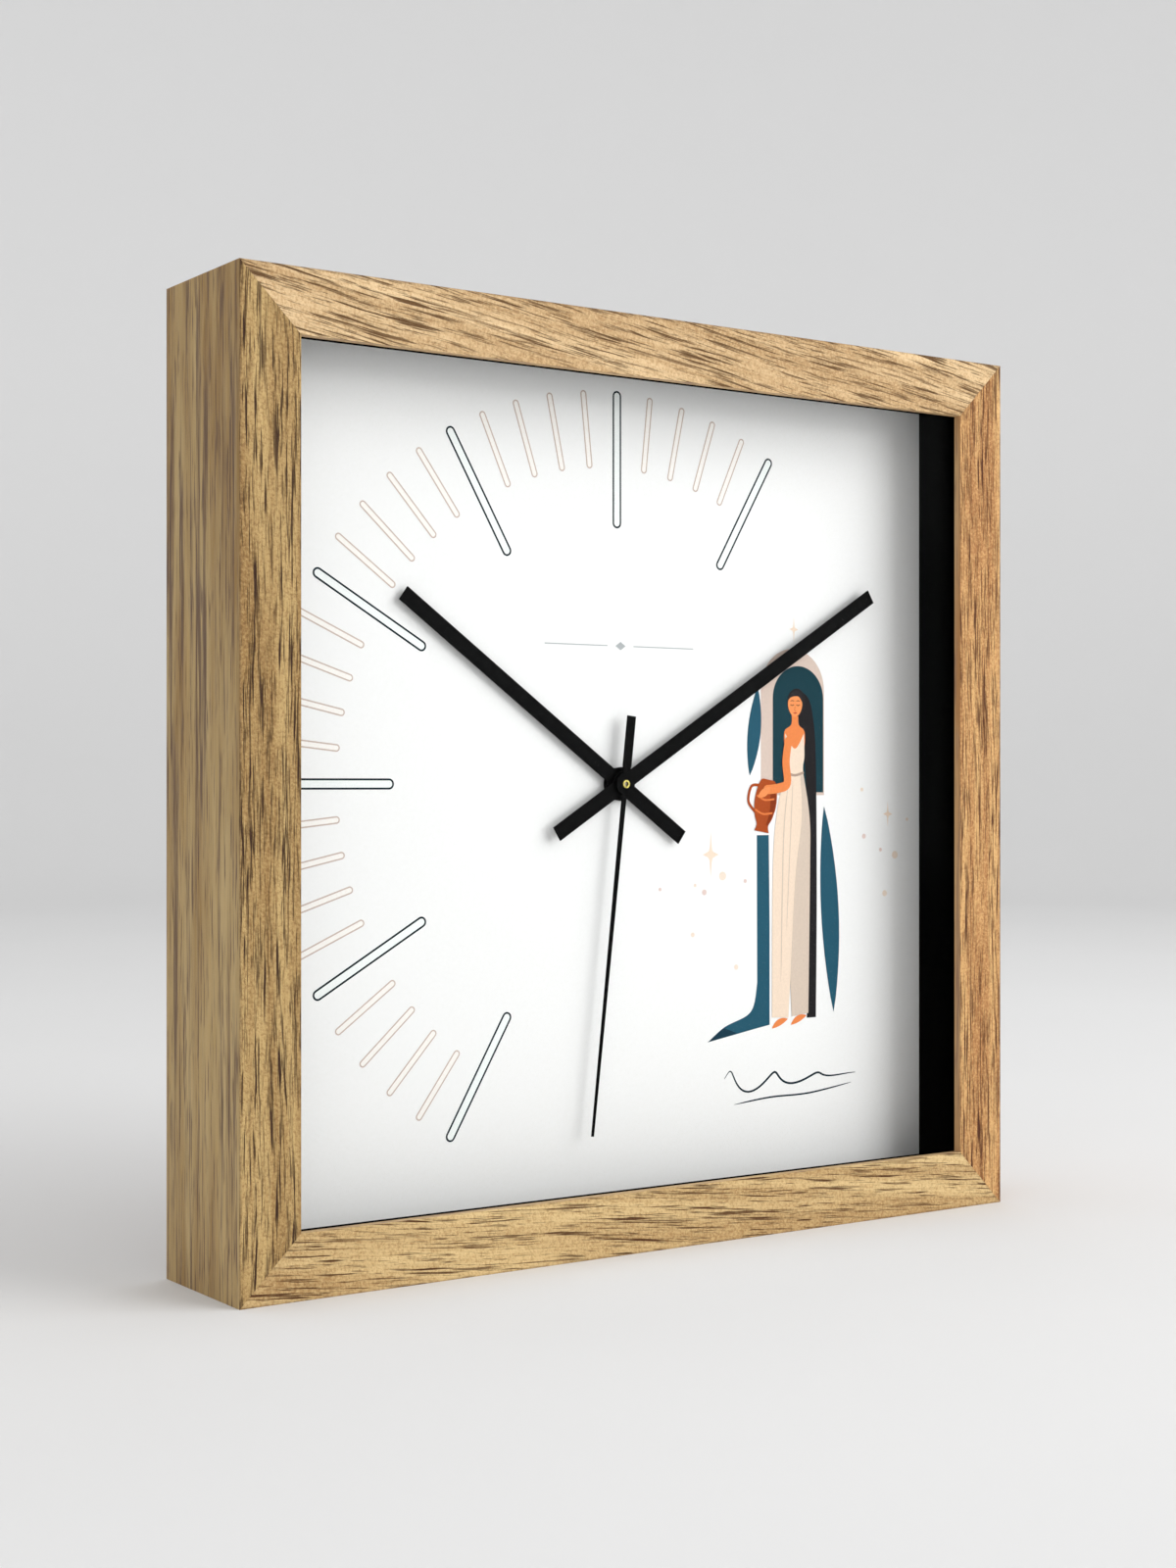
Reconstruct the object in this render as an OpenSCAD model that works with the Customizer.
// Square wooden wall clock: mitred frame, clear pane, printed dial, three hands and a
// battery quartz movement that the hands ride on.
// The front faces -Y and +Z is up. The origin is under the middle of the bottom rail.
// "Depth" is always counted backwards from the frame's front face.

/* [Frame] */
// Outer width and height of the square frame
frame_size = 305; // [300:1:340]
// Depth of the frame from front to back
frame_depth = 51; // [51:1:60]
// Width of the frame's front face
face_w = 20; // [18:0.5:24]
// Thickness of the frame's side walls, behind the lip
wall_t = 13; // [12:0.5:13.5]
// Thickness of the front lip that holds the pane
lip_t = 3; // [2.5:0.5:4]

/* [Dial] */
// Thickness of the clear pane
pane_t = 2; // [1.5:0.5:2.5]
// Distance from the back of the pane to the printed dial
dial_gap = 21.5; // [20:0.5:22.5]
// Thickness of the board behind the printed dial
board_t = 3; // [2:0.5:3]
// Thickness of the black lining between the pane and the dial
liner_t = 2.5; // [1:0.5:3]

/* [Hands] */
// Length of the hour hand from the centre to its tip
hour_len = 103.5; // [80:0.5:110]
// Length of the minute hand from the centre to its tip
minute_len = 129.2; // [100:0.1:129.5]
// Length of the second hand from the centre to its tip
second_len = 117.8; // [90:0.1:128]
// Length of the hour and minute hands behind the centre
tail_len = 31.5; // [20:0.5:40]
// Width of the hour and minute hands
hand_w = 5.2; // [3.5:0.1:7]
// Where the hour hand points at rest, in degrees clockwise from twelve
hour_at = 305.7; // [0:0.1:360]
// Where the minute hand points at rest, in degrees clockwise from twelve
minute_at = 58.3; // [0:0.1:360]
// Where the second hand points at rest, in degrees clockwise from twelve
second_at = 186.5; // [0:0.1:360]

/* [Movement] */
// Width and height of the movement's case
case_w = 56; // [56:0.5:60]
// Diameter of the battery cell
battery_dia = 14.5; // [13.5:0.1:14.5]
// Diameter of the setting knob
knob_dia = 10; // [8:0.5:12]

/* [Hidden] */
$fn = 48;
half = frame_size / 2;
front_y = -frame_depth / 2;
inner_half = half - wall_t;
panel_half = inner_half - 0.5;

// How far joined solids run into each other, and how far a cut runs past a face
lap = 0.3;
past = 1;

// Depths of the layers behind the lip, from front to back
pane_d = lip_t;
liner_d = pane_d + pane_t;
dial_d = liner_d + dial_gap;
sheet_t = 0.4;
board_d = dial_d + sheet_t;
board_back_d = board_d + board_t;
washer_t = 1;
case_d = board_back_d + washer_t;

// Fittings in the wooden frame
point_t = 0.8;
point_w = 6;
point_reach = 6;
point_bite = 8;
point_at = 70;
v_nail_depth = 10;
v_nail_leg = 4;
v_nail_t = 0.5;
plate_l = 38;
plate_w = 11;
plate_t = 1.2;
keyhole_r = 3.25;
keyslot_r = 1.75;
keyhole_drop = 1.6;
keyslot_rise = 2.7;
hanger_screw_at = 14.5;
hanger_screw_r = 1.3;
hanger_head_r = 2.4;
hanger_head_t = 1.1;
hanger_screw_l = 9;
hanger_tip_l = 2;
cross_l = 2.8;
cross_w = 0.5;
cross_deep = 0.7;
pocket_deep = 8;
pocket_w = 8.6;

// Stack on the dial, as distances in front of the printed sheet
nut_from = 1.8;
nut_to = 0.3;
bush_end = 2;
hour_plate = 2.5;
hour_tube_end = 2.7;
minute_plate = 3.9;
minute_tube_end = 4.1;
second_plate = 5.1;
second_tube_end = 5.7;
second_arbor_end = 4.8;
hand_t = 0.4;
board_hole_r = 4.3;

// Nested tubes through the dial
bush_r = 4;
hour_tube_r = 2.5;
minute_tube_r = 1.75;
second_arbor_r = 0.75;
running = 0.06;
press = 0.02;
loose = 0.05;
washer_loose = 0.15;

// Shell of the movement, as distances behind the front of its case
case_front_t = 1.2;
case_wall = 1.5;
cover_from = 14;
case_t = 15.5;
case_in = case_w / 2 - case_wall;
case_corner_r = 3;
bay_top = -11.5;
bay_wall = 1.2;
battery_len = 50.5;
battery_gap = 0.3;
battery_nub_r = 2.75;
battery_nub_l = 1;
post_r = 1.3;
post_pin_r = 0.6;
stud_r = 0.7;
boss_r = 1.2;
stem_r = 1;
stem_pivot_r = 0.5;
stem_end_r = 0.8;

// Gear layers, as distances behind the front of the case
wheel_t = 0.7;
pinion_t = 0.9;
hour_layer = 1.9;
motion_layer = 3.4;
spring_layer = 4.45;
centre_layer = 5.1;
minute_back = 6.2;
third_layer = 6.6;
bridge_from = 7.7;
bridge_to = 8.2;
second_layer = 8.5;
inter_layer = 9.7;
stator_layer = 10.9;
magnet_from = 10.7;
magnet_to = 11.9;
coil_axis = 10.4;
pivot_r = 0.35;
pivot_end = 14.6;
pcb_layer = 9.6;
pcb_t = 0.8;
arbor_r = 0.5;
arbor_end = 13;

// Tooth counts and tooth sizes of each pair
hour_teeth = 48;
motion_leaves = 12;
motion_teeth = 45;
minute_leaves = 15;
centre_teeth = 64;
third_leaves = 8;
third_teeth = 60;
second_leaves = 8;
second_teeth = 40;
inter_leaves = 8;
inter_teeth = 48;
rotor_leaves = 8;
time_mod = 0.32;
centre_mod = 0.255;
third_mod = 0.27;
second_mod = 0.3;
inter_mod = 0.22;

// Where each arbor stands, seen from the front
motion_dir = 300;
knob_dir = 30;
third_dir = 70;
inter_dir = 20;
rotor_dir = 70;
function at(dir, dist) = [dist * sin(dir), dist * cos(dir)];
function centres(mod, a, b) = mod * (a + b) / 2;
motion_pos = at(motion_dir, centres(time_mod, hour_teeth, motion_leaves));
knob_pos = motion_pos + at(knob_dir, centres(time_mod, motion_teeth, minute_leaves));
third_pos = at(third_dir, centres(third_mod, third_teeth, second_leaves));
inter_pos = at(inter_dir, centres(second_mod, second_teeth, inter_leaves));
rotor_pos = inter_pos + at(rotor_dir, centres(inter_mod, inter_teeth, rotor_leaves));
bridge_posts = [[-19, -7], [19, -8], [12.5, 14], [-14, 13]];
coil_z = 20.5;
coil_from = -8;
coil_to = 18;
spool_r = 2;
core_w = 2.4;
core_t = 1;
yoke_z = 15.9;

// ---- Helpers ----

// A flat outline, drawn as seen from the front about the dial's centre, made solid between two depths
module layer(from, to)
    translate([0, front_y + to, half]) rotate([90, 0, 0]) linear_extrude(to - from) children();

// The same, with depths counted from the front of the movement's case
module in_case(from, to) layer(case_d + from, case_d + to) children();

// A bar along X between two places, drawn about its own axis at height z and depth d
module along_x(from, to, z, d)
    translate([from, front_y + d, half + z]) rotate([0, 90, 0]) linear_extrude(to - from) children();

// A disc on an arbor
module disc(pos, r) translate(pos) circle(r);

// Four quarter turns about the dial's centre
module four_ways() for (a = [0:90:270]) rotate(a) children();

// A rectangle with round corners, about its centre
module rounded(w, h, r) {
    square([w - 2 * r, h], center = true);
    square([w, h - 2 * r], center = true);
    for (x = [-1, 1], y = [-1, 1]) translate([x * (w / 2 - r), y * (h / 2 - r)]) circle(r);
}

// A straight strip with round ends, from one point to another
module strip(a, b, w) {
    run = b - a;
    translate(a) rotate(atan2(run[1], run[0])) translate([0, -w / 2]) square([norm(run), w]);
    translate(a) circle(w / 2);
    translate(b) circle(w / 2);
}

// Involute teeth. Each tooth fills a little less than half its pitch, which leaves backlash.
pressure = 20;
tooth_share = 0.4;
function involute(a) = tan(a) * 180 / PI - a;
function tooth_half(n, mod, r) =
    let (base = n * mod / 2 * cos(pressure))
    180 / n * tooth_share + involute(pressure) - (r > base ? involute(acos(base / r)) : 0);
function gear_points(n, mod, rise, drop, phase) =
    let (pitch_r = n * mod / 2, radii = [pitch_r - drop * mod, pitch_r, pitch_r + rise * mod])
    [for (i = [0:n - 1]) for (c = [[-1, 0], [-1, 1], [-1, 2], [1, 2], [1, 1], [1, 0]])
        let (r = radii[c[1]], a = phase + 360 * i / n + c[0] * tooth_half(n, mod, r))
        [r * sin(a), r * cos(a)]];
// Tooth angle of the second gear of a pair, so that a gap meets the first gear's tooth
function meshed(dir, phase, n1, n2) = dir + 180 - (phase - dir) * n1 / n2 + 180 / n2;
module wheel(n, mod, phase) polygon(gear_points(n, mod, 0.6, 1, phase));
module pinion(n, mod, phase) polygon(gear_points(n, mod, 0.8, 0.95, phase));

// ---- Wooden frame ----

// A mitred board of the frame's bottom side, seen from the front
module mitred(w)
    polygon([[-half, -half], [half, -half], [half - w, w - half], [w - half, w - half]]);

// One V-shaped nail outline across each corner's mitre
module v_nail_outlines()
    four_ways() translate([-(half - wall_t / 2), -(half - wall_t / 2)]) rotate(225)
        for (s = [-1, 1]) rotate(s * 60) translate([0, -v_nail_t / 2]) square([v_nail_leg, v_nail_t]);

// One pair of framer's points, driven into the bottom rail's inner face
module point_outlines()
    for (s = [-1, 1]) translate([s * point_at, -inner_half])
        polygon([[-point_w / 2, point_reach], [point_w / 2, point_reach], [point_w / 2, 3 - point_bite],
            [0, -point_bite], [-point_w / 2, 3 - point_bite]]);

// A plain side of the frame with its nail and point slots, turned to its place
module frame_side(turn)
    difference() {
        union() {
            layer(0, lip_t) rotate(turn) mitred(face_w);
            layer(lip_t, frame_depth) rotate(turn) mitred(wall_t);
        }
        layer(frame_depth - v_nail_depth, frame_depth + past) v_nail_outlines();
        layer(board_back_d, board_back_d + point_t) rotate(turn) point_outlines();
    }

module rail_bottom() color("burlywood") frame_side(0);
module stile_right() color("burlywood") frame_side(90);
module stile_left() color("burlywood") frame_side(270);

// The top rail also takes the hanger plate, flush in its back, over a pocket for the wall screw's head
hanger_z = half - wall_t / 2;
module rail_top() color("burlywood") difference() {
    frame_side(180);
    layer(frame_depth - plate_t, frame_depth + past) translate([0, hanger_z])
        square([plate_l, plate_w], center = true);
    layer(frame_depth - plate_t - pocket_deep, frame_depth) translate([0, hanger_z])
        square([pocket_w, plate_w - 1.2], center = true);
    for (s = [-1, 1])
        layer(frame_depth - hanger_screw_l - hanger_tip_l - past, frame_depth)
            disc([s * hanger_screw_at, hanger_z], hanger_screw_r + loose);
}

module corner_v_nails() color("silver")
    layer(frame_depth - v_nail_depth, frame_depth) v_nail_outlines();

module framer_points() color("silver")
    layer(board_back_d, board_back_d + point_t) four_ways() point_outlines();

// A cone that narrows from the back of the frame forwards
module back_cone(x, wide, narrow, deep)
    translate([x, -front_y, half + hanger_z]) rotate([90, 0, 0]) cylinder(h = deep, r1 = wide, r2 = narrow);

module hanger_plate() color("gainsboro") difference() {
    layer(frame_depth - plate_t, frame_depth) translate([0, hanger_z])
        square([plate_l, plate_w], center = true);
    layer(frame_depth - plate_t - past, frame_depth + past) translate([0, hanger_z - keyhole_drop]) {
        circle(keyhole_r);
        translate([-keyslot_r, 0]) square([2 * keyslot_r, keyhole_drop + keyslot_rise]);
        translate([0, keyhole_drop + keyslot_rise]) circle(keyslot_r);
    }
    for (s = [-1, 1]) {
        layer(frame_depth - plate_t - past, frame_depth + past)
            disc([s * hanger_screw_at, hanger_z], hanger_screw_r + loose);
        back_cone(s * hanger_screw_at, hanger_head_r + loose, hanger_screw_r + loose, hanger_head_t);
    }
}

module hanger_screws() color("goldenrod") for (s = [-1, 1]) difference() {
    union() {
        back_cone(s * hanger_screw_at, hanger_head_r, hanger_screw_r, hanger_head_t);
        back_cone(s * hanger_screw_at, hanger_screw_r, hanger_screw_r, hanger_screw_l);
        translate([0, -hanger_screw_l, 0])
            back_cone(s * hanger_screw_at, hanger_screw_r, 0.3, hanger_tip_l);
    }
    for (a = [20, 110]) layer(frame_depth - cross_deep, frame_depth + past)
        translate([s * hanger_screw_at, hanger_z]) rotate(a) square([cross_l, cross_w], center = true);
}

// ---- Pane, lining and dial ----

module front_pane() color("white", 0.2)
    layer(pane_d, liner_d) square(2 * panel_half, center = true);

// One strip of the lining along the bottom, of the given half length
module liner_strip(turn, reach) color("black")
    layer(liner_d, dial_d) rotate(turn) translate([-reach, -inner_half]) square([2 * reach, liner_t]);
module liner_bottom() liner_strip(0, inner_half);
module liner_right() liner_strip(90, inner_half - liner_t);
module liner_top() liner_strip(180, inner_half);
module liner_left() liner_strip(270, inner_half - liner_t);

module dial_sheet() color("whitesmoke") layer(dial_d, board_d) difference() {
    square(2 * panel_half, center = true);
    circle(board_hole_r);
}

module dial_board() color("peru") layer(board_d, board_back_d) difference() {
    square(2 * panel_half, center = true);
    circle(board_hole_r);
}

// ---- What clamps the movement to the dial ----

module rubber_washer() color("dimgray") layer(board_back_d, case_d) difference() {
    circle(9);
    circle(bush_r + washer_loose);
}

module nut_washer() color("#1a1a1a") layer(dial_d - nut_to, dial_d) difference() {
    circle(5.5);
    circle(bush_r + washer_loose);
}

module hex_nut() color("#1a1a1a") layer(dial_d - nut_from, dial_d - nut_to) difference() {
    circle(5.4, $fn = 6);
    circle(bush_r + loose);
}

// Threaded tube with a flange inside the case. Its thread is a row of ring grooves.
thread_pitch = 0.8;
thread_depth = 0.3;
flange_r = 5.5;
flange_from = 0.4;
module threaded_bush() color("gold") {
    start = dial_d - bush_end;
    turns = floor((case_d - start) / thread_pitch);
    translate([0, front_y, half]) rotate([90, 0, 0]) rotate_extrude() polygon(concat(
        [[hour_tube_r + running, -(case_d + case_front_t)], [hour_tube_r + running, -start]],
        [for (i = [0:turns - 1]) for (p = [[bush_r - thread_depth, 0], [bush_r, thread_pitch / 2]])
            [p[0], -(start + i * thread_pitch + p[1])]],
        [[bush_r, -(case_d + flange_from)], [flange_r, -(case_d + flange_from)],
            [flange_r, -(case_d + case_front_t)]]
    ));
}

// ---- Shell of the movement ----

notch_from = 6;
notch_w = 18;
lead_from = 11.8;
lead_slot = 0.6;
third_pivot_r = 0.4;
rear_pivots = [[0, 0], third_pos, inter_pos, rotor_pos];

module movement_case() color("#26272a") difference() {
    union() {
        difference() {
            in_case(0, cover_from) rounded(case_w, case_w, case_corner_r);
            in_case(case_front_t, cover_from + past)
                rounded(2 * case_in, 2 * case_in, case_corner_r - case_wall);
        }
        in_case(case_front_t - lap, cover_from) translate([-case_in - lap, bay_top])
            square([2 * (case_in + lap), bay_wall]);
        for (p = bridge_posts) {
            in_case(case_front_t - lap, bridge_from) disc(p, post_r);
            in_case(bridge_from - lap, bridge_to + 0.3) disc(p, post_pin_r);
        }
        for (z = [-6.5, 21]) in_case(case_front_t - lap, pcb_layer) disc([-23.5, z], boss_r);
        in_case(case_front_t - lap, motion_layer + wheel_t + 0.4) disc(motion_pos, stud_r);
        in_case(case_front_t - lap, 2.4) disc(knob_pos, 1.4);
        in_case(case_front_t - lap, 1.6) disc(third_pos, 1);
    }
    in_case(-past, case_front_t + past) circle(bush_r + loose);
    in_case(flange_from, case_front_t + past) circle(flange_r + loose);
    in_case(0.8, 3) disc(knob_pos, stem_pivot_r + running);
    in_case(0.8, 2) disc(third_pos, third_pivot_r + running);
    // Finger notch to lift the cell out, and slots for the contact leads
    in_case(notch_from, cover_from + past) translate([-notch_w / 2, -case_w / 2 - past])
        square([notch_w, case_wall + 2 * past]);
    in_case(lead_from - 0.2, cover_from + past) for (x = [-case_in, case_in - lead_slot])
        translate([x, bay_top - past]) square([lead_slot, bay_wall + 2 * past]);
}

// Back cover over the gears, with pivot bosses, snap tabs and a collar round the setting stem
groove_deep = 0.3;
module movement_cover() color("#1c1d20") difference() {
    union() {
        intersection() {
            in_case(cover_from, case_t) rounded(case_w, case_w, case_corner_r);
            in_case(cover_from, case_t) translate([-case_w / 2, bay_top]) square([case_w, case_w]);
        }
        for (p = rear_pivots) in_case(cover_from - 0.7, cover_from + lap) disc(p, boss_r);
        for (x = [-1, 1], z = [4, 16]) in_case(cover_from - 2.2, cover_from + lap)
            translate([x * (case_in - 0.6) - 0.5, z]) square([1, 4]);
        in_case(cover_from - 1, cover_from + lap) disc(knob_pos, 2.2);
    }
    for (p = rear_pivots) in_case(cover_from - past, cover_from + 0.8) disc(p, pivot_r + running);
    in_case(cover_from - 2, case_t + past) disc(knob_pos, stem_r + running);
    // Shallow ring round the knob and three grip lines along the lower edge
    in_case(case_t - groove_deep, case_t + past) difference() {
        disc(knob_pos, knob_dia / 2 + 2.4);
        disc(knob_pos, knob_dia / 2 + 1.6);
    }
    for (z = [-9.5, -8, -6.5]) in_case(case_t - groove_deep, case_t + past)
        translate([-8, z]) square([16, 0.6]);
}

// Thin plate that splits the gears into a front and a back room
module bridge_plate() color("#3a3b3f") in_case(bridge_from, bridge_to) difference() {
    translate([-21, -9.5]) square([42, 25.3]);
    for (p = bridge_posts) disc(p, post_pin_r + loose);
    circle(1.6);
    disc(knob_pos, stem_r + 0.4);
    disc(third_pos, arbor_r + running);
    disc(inter_pos, pivot_r + running);
    disc(rotor_pos, pivot_r + running);
}

// ---- Electrics ----

module circuit_board() color("darkgreen") in_case(pcb_layer, pcb_layer + pcb_t)
    translate([-26, -9.8]) square([13, 33.8]);

module driver_chip() color("#111111")
    translate([-19.5, front_y + case_d + pcb_layer + pcb_t, half + 10]) rotate([-90, 0, 0])
        rotate_extrude() polygon([[0, 0], [3, 0], [2.8, 0.5], [2.1, 0.9], [1.1, 1.1], [0, 1.15]]);

module quartz_crystal() color("silver")
    translate([-17, front_y + case_d + pcb_layer + pcb_t + 1, half - 5])
        rotate_extrude() polygon([[0, 0], [1, 0], [1, 5.4], [0.85, 5.8], [0.5, 6], [0, 6]]);

module coil_bobbin() color("ivory") difference() {
    union() {
        along_x(coil_from, coil_to, coil_z, case_d + coil_axis) circle(spool_r);
        for (x = [coil_from, coil_to - 1]) along_x(x, x + 1, coil_z, case_d + coil_axis) circle(3.2);
    }
    along_x(coil_from - past, coil_to + past, coil_z, case_d + coil_axis)
        square([core_w + loose, core_t + loose], center = true);
}

module coil_winding() color("chocolate")
    along_x(coil_from + 1, coil_to - 1, coil_z, case_d + coil_axis) difference() {
        circle(3);
        circle(spool_r);
    }

// Core bar through the coil, and the yoke that carries its field to the rotor
module stator() color("lightsteelblue") union() {
    along_x(coil_from - 3.2, coil_to + 3.2, coil_z, case_d + coil_axis)
        square([core_w, core_t], center = true);
    in_case(stator_layer, stator_layer + 0.8) difference() {
        union() {
            for (leg = [[[coil_from - 2, coil_z], [coil_from - 2, yoke_z]],
                [[coil_from - 2, yoke_z], [3, yoke_z]], [[3, yoke_z], rotor_pos],
                [[coil_to + 2, coil_z], [coil_to + 2, 12]], [[coil_to + 2, 12], rotor_pos]])
                strip(leg[0], leg[1], core_w);
            disc(rotor_pos, 4.8);
        }
        disc(rotor_pos, 3.1);
    }
}

contact_t = 0.4;
contact_x = case_in - loose;
contact_foot = -24;
contact_l = bay_top - 0.5 - contact_foot;
lead_z = bay_top + bay_wall + 0.1;
// End plates of the battery bay. Each has a lead that crosses the bay wall to the circuit board.
module contact_plus() color("silver") union() {
    in_case(case_front_t + 0.2, cover_from - 0.2) translate([contact_x - contact_t, contact_foot])
        square([contact_t, contact_l]);
    in_case(lead_from, cover_from - 0.2) translate([contact_x - contact_t, bay_top - past])
        square([contact_t, lead_z + contact_t - bay_top + past]);
    in_case(lead_from, cover_from - 0.2) translate([-20, lead_z]) square([20 + contact_x, contact_t]);
    in_case(pcb_layer + pcb_t, cover_from - 0.2) translate([-20, lead_z]) square([2, contact_t]);
}

module contact_minus() color("silver") union() {
    in_case(case_front_t + 0.2, cover_from - 0.2) translate([-contact_x, contact_foot])
        square([contact_t, contact_l]);
    in_case(lead_from, cover_from - 0.2) translate([-contact_x, bay_top - past])
        square([contact_t, 9]);
    translate([-contact_x + contact_t - 0.1, front_y + case_d + battery_axis, half + battery_z])
        rotate([0, 90, 0]) cylinder(h = 0.9, r1 = 3.2, r2 = 2);
}

battery_r = battery_dia / 2;
battery_axis = case_front_t + battery_gap + battery_r;
battery_z = (bay_top - case_in) / 2;
battery_from = 0.5 - battery_len / 2;
can_l = battery_len - battery_nub_l;
module battery() color("silver")
    translate([battery_from, front_y + case_d + battery_axis, half + battery_z]) rotate([0, 90, 0])
        rotate_extrude() polygon([[0, 0], [battery_r - 0.7, 0], [battery_r, 0.5],
            [battery_r, can_l - 0.5], [battery_r - 0.6, can_l], [battery_nub_r, can_l],
            [battery_nub_r, battery_len - 0.2], [battery_nub_r - 0.25, battery_len], [0, battery_len]]);

// ---- Gear train, from the rotor to the hands ----

second_phase = 3;
inter_wheel_phase = 0;
third_wheel_phase = meshed(third_dir, second_phase, second_leaves, third_teeth);
centre_phase = 0;
minute_phase = 0;
motion_phase = meshed(motion_dir, minute_phase, minute_leaves, motion_teeth);
hour_phase = 0;

// A plain arbor between two depths in the case
module arbor(pos, r, from, to) in_case(from, to) disc(pos, r);

module rotor() color("ivory") union() {
    arbor(rotor_pos, pivot_r, bridge_from, pivot_end);
    arbor(rotor_pos, arbor_r, bridge_to + 0.2, arbor_end);
    in_case(inter_layer - 0.1, inter_layer + pinion_t - 0.1)
        translate(rotor_pos) pinion(rotor_leaves, inter_mod,
            meshed(rotor_dir, inter_wheel_phase, inter_teeth, rotor_leaves));
}

module rotor_magnet() color("dimgray") in_case(magnet_from, magnet_to) difference() {
    disc(rotor_pos, 2.6);
    disc(rotor_pos, arbor_r + press);
}

module intermediate_wheel() color("ivory") union() {
    arbor(inter_pos, pivot_r, bridge_from, pivot_end);
    arbor(inter_pos, arbor_r, bridge_to + 0.2, arbor_end);
    in_case(second_layer - 0.1, second_layer + pinion_t) translate(inter_pos)
        pinion(inter_leaves, second_mod, meshed(inter_dir, second_phase, second_teeth, inter_leaves));
    in_case(inter_layer, inter_layer + wheel_t) translate(inter_pos)
        wheel(inter_teeth, inter_mod, inter_wheel_phase);
}

module second_wheel() color("ivory") union() {
    arbor([0, 0], second_arbor_r, dial_d - second_arbor_end - case_d, second_layer + lap);
    arbor([0, 0], arbor_r, second_layer, arbor_end);
    arbor([0, 0], pivot_r, arbor_end - past, pivot_end);
    in_case(third_layer - 0.1, third_layer + pinion_t) pinion(second_leaves, third_mod, second_phase);
    in_case(second_layer, second_layer + wheel_t) wheel(second_teeth, second_mod, second_phase);
}

module third_wheel() color("ivory") union() {
    arbor(third_pos, third_pivot_r, 1, 2.4);
    arbor(third_pos, arbor_r, 1.8, arbor_end);
    arbor(third_pos, pivot_r, arbor_end - past, pivot_end);
    in_case(centre_layer - 0.1, third_layer + lap) translate(third_pos)
        pinion(third_leaves, centre_mod, meshed(third_dir, centre_phase, centre_teeth, third_leaves));
    in_case(third_layer, third_layer + wheel_t) translate(third_pos)
        wheel(third_teeth, third_mod, third_wheel_phase);
}

module centre_wheel() color("ivory") difference() {
    union() {
        in_case(centre_layer, centre_layer + wheel_t) wheel(centre_teeth, centre_mod, centre_phase);
        in_case(centre_layer, centre_layer + wheel_t + 0.3) circle(2.8);
    }
    in_case(centre_layer - past, centre_layer + 3) circle(minute_tube_r + running);
}

// Dished washer that lets the hands slip when they are set by the knob
module clutch_spring() color("goldenrod") translate([0, front_y + case_d + spring_layer, half])
    rotate([90, 0, 0]) rotate_extrude() polygon([[minute_tube_r + press, 0],
        [minute_tube_r + press, -0.15], [3.2, -0.55], [3.2, -0.4]]);

module minute_arbor() color("silver") difference() {
    union() {
        arbor([0, 0], minute_tube_r, dial_d - minute_tube_end - case_d, minute_back);
        in_case(motion_layer, motion_layer + pinion_t)
            pinion(minute_leaves, time_mod, minute_phase);
    }
    arbor([0, 0], second_arbor_r + running, dial_d - minute_tube_end - case_d - past,
        minute_back + past);
}

module motion_wheel() color("ivory") difference() {
    union() {
        in_case(hour_layer - 0.1, motion_layer + lap) translate(motion_pos)
            pinion(motion_leaves, time_mod, meshed(motion_dir, hour_phase, hour_teeth, motion_leaves));
        in_case(motion_layer + 0.1, motion_layer + 0.1 + wheel_t) translate(motion_pos)
            wheel(motion_teeth, time_mod, motion_phase);
    }
    arbor(motion_pos, stud_r + running, 1, motion_layer + 2);
}

module hour_wheel() color("ivory") difference() {
    union() {
        arbor([0, 0], hour_tube_r, dial_d - hour_tube_end - case_d, hour_layer + wheel_t);
        in_case(hour_layer, hour_layer + wheel_t) wheel(hour_teeth, time_mod, hour_phase);
    }
    arbor([0, 0], minute_tube_r + running, dial_d - hour_tube_end - case_d - past, hour_layer + 2);
}

module setting_stem() color("ivory") union() {
    arbor(knob_pos, stem_pivot_r, 1, 2.8);
    arbor(knob_pos, stem_r, 2.6, case_t + 0.1);
    arbor(knob_pos, stem_end_r, case_t, case_t + 1.9);
    in_case(motion_layer, motion_layer + pinion_t) translate(knob_pos) pinion(minute_leaves, time_mod,
        meshed(knob_dir, motion_phase, motion_teeth, minute_leaves));
}

knob_t = 2.2;
knob_grips = 18;
module setting_knob() color("#2c2d31") difference() {
    in_case(case_t + 0.3, case_t + 0.3 + knob_t) disc(knob_pos, knob_dia / 2);
    for (i = [0:knob_grips - 1]) in_case(case_t, case_t + knob_t + past)
        disc(knob_pos + at(i * 360 / knob_grips, knob_dia / 2 + 0.15), 0.5);
    in_case(case_t, case_t + 2) disc(knob_pos, stem_end_r + press);
    in_case(case_t + knob_t, case_t + knob_t + past) disc(knob_pos, knob_dia / 2 - 1.6);
}

// ---- Hands ----

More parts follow.
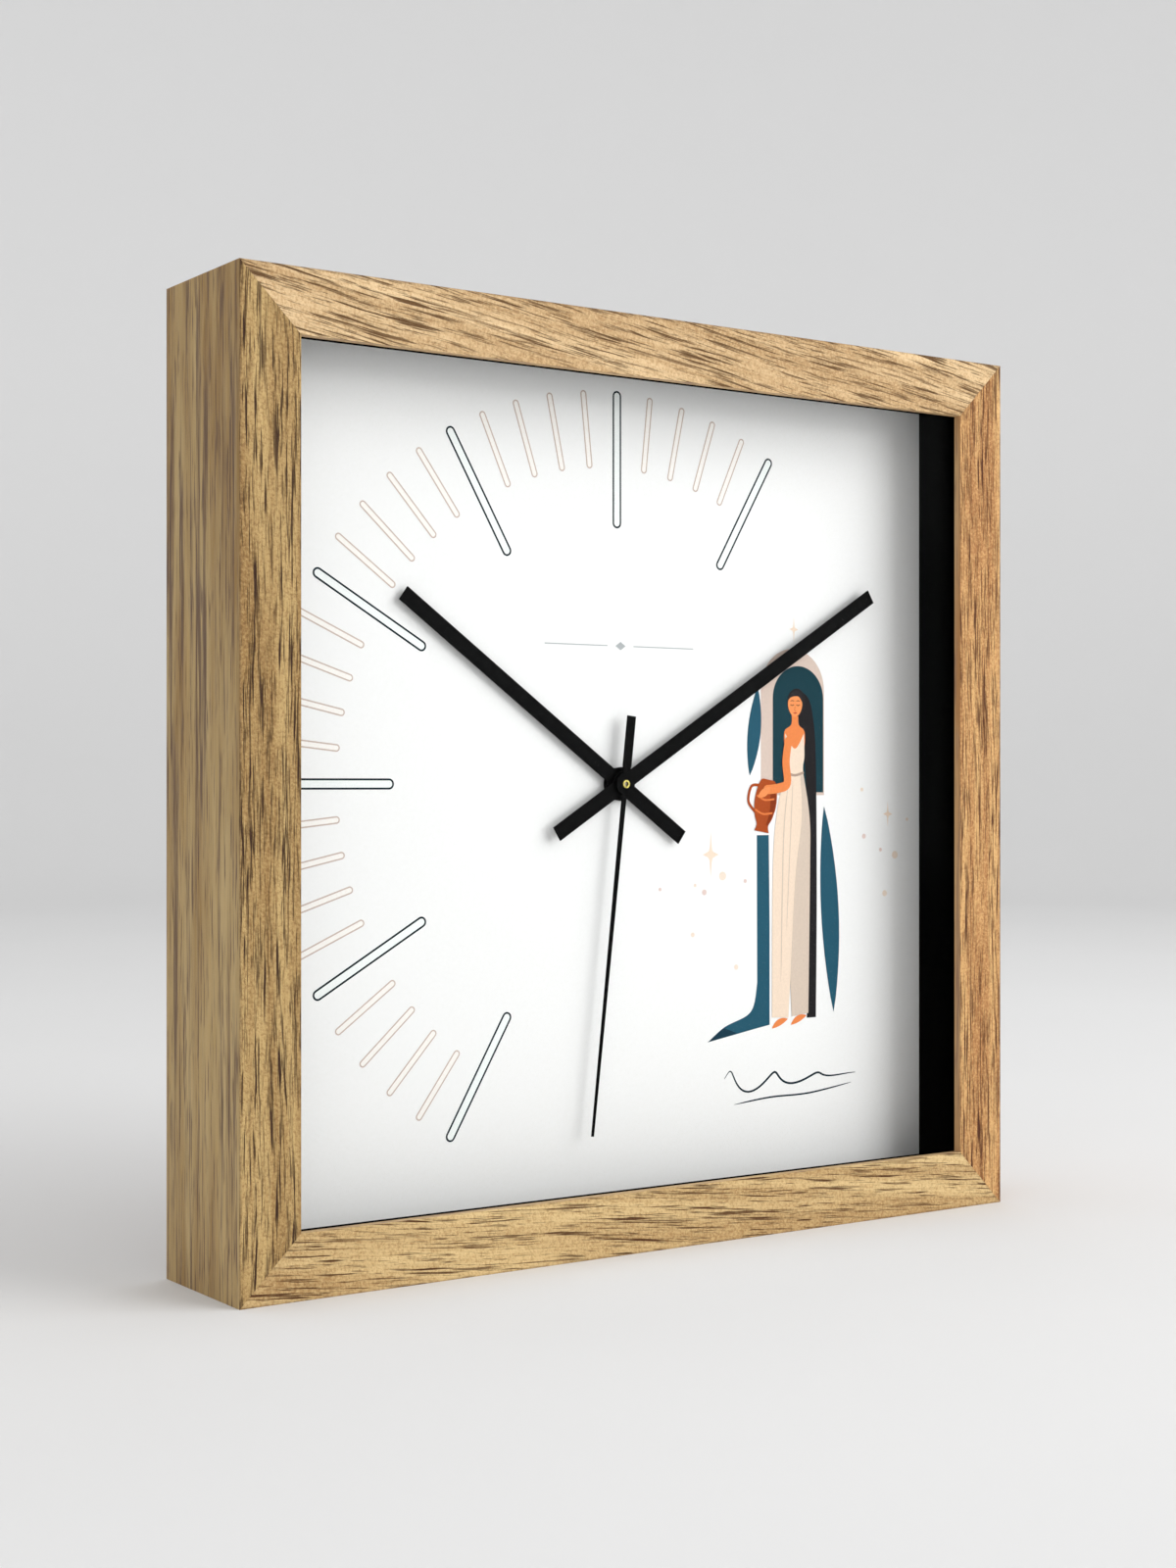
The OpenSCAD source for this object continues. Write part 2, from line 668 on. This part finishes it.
// A straight hand with square ends, pointing up
module straight_hand(reach, hub_r, hole_r) difference() {
    union() {
        translate([-hand_w / 2, -tail_len]) square([hand_w, reach + tail_len]);
        circle(hub_r);
    }
    circle(hole_r + press);
}

module hour_hand() color("#0c0c0c") layer(dial_d - hour_plate, dial_d - hour_plate + hand_t)
    rotate(-hour_at) straight_hand(hour_len, 5.7, hour_tube_r);

module minute_hand() color("#0c0c0c") layer(dial_d - minute_plate, dial_d - minute_plate + hand_t)
    rotate(-minute_at) straight_hand(minute_len, 4.3, minute_tube_r);

// Half widths of the second hand at its tip, its root and its tail
second_tip = 0.5;
second_root = 0.95;
second_tail = 1.75;
second_tail_len = 23;
second_neck = 6.2;
second_tube_r = 1.35;
function second_side(s) = [for (p = [[second_tip, second_len], [second_root, 3], [second_root + 0.2, -3],
    [second_tail, -second_neck], [second_tail, -second_tail_len]]) [s * p[0], p[1]]];
module second_hand() color("#0c0c0c") difference() {
    from = dial_d - second_plate;
    union() {
        layer(from, from + hand_t) rotate(-second_at)
            polygon(concat(second_side(1), [for (i = [4:-1:0]) second_side(-1)[i]]));
        layer(from, from + hand_t) circle(3.6);
    }
    layer(from - past, from + past) circle(second_tube_r + press);
}

module second_hand_tube() color("gold") layer(dial_d - second_tube_end, dial_d - minute_tube_end - 0.2)
    difference() {
        circle(second_tube_r);
        circle(second_arbor_r + press);
    }

// ---- Everything ----

rail_top();
rail_bottom();
stile_left();
stile_right();
corner_v_nails();
front_pane();
liner_top();
liner_bottom();
liner_left();
liner_right();
dial_sheet();
dial_board();
framer_points();
hanger_plate();
hanger_screws();
rubber_washer();
nut_washer();
hex_nut();
threaded_bush();
movement_case();
movement_cover();
bridge_plate();
circuit_board();
driver_chip();
quartz_crystal();
coil_bobbin();
coil_winding();
stator();
contact_plus();
contact_minus();
battery();
rotor();
rotor_magnet();
intermediate_wheel();
second_wheel();
third_wheel();
centre_wheel();
clutch_spring();
minute_arbor();
motion_wheel();
hour_wheel();
setting_stem();
setting_knob();
hour_hand();
minute_hand();
second_hand();
second_hand_tube();
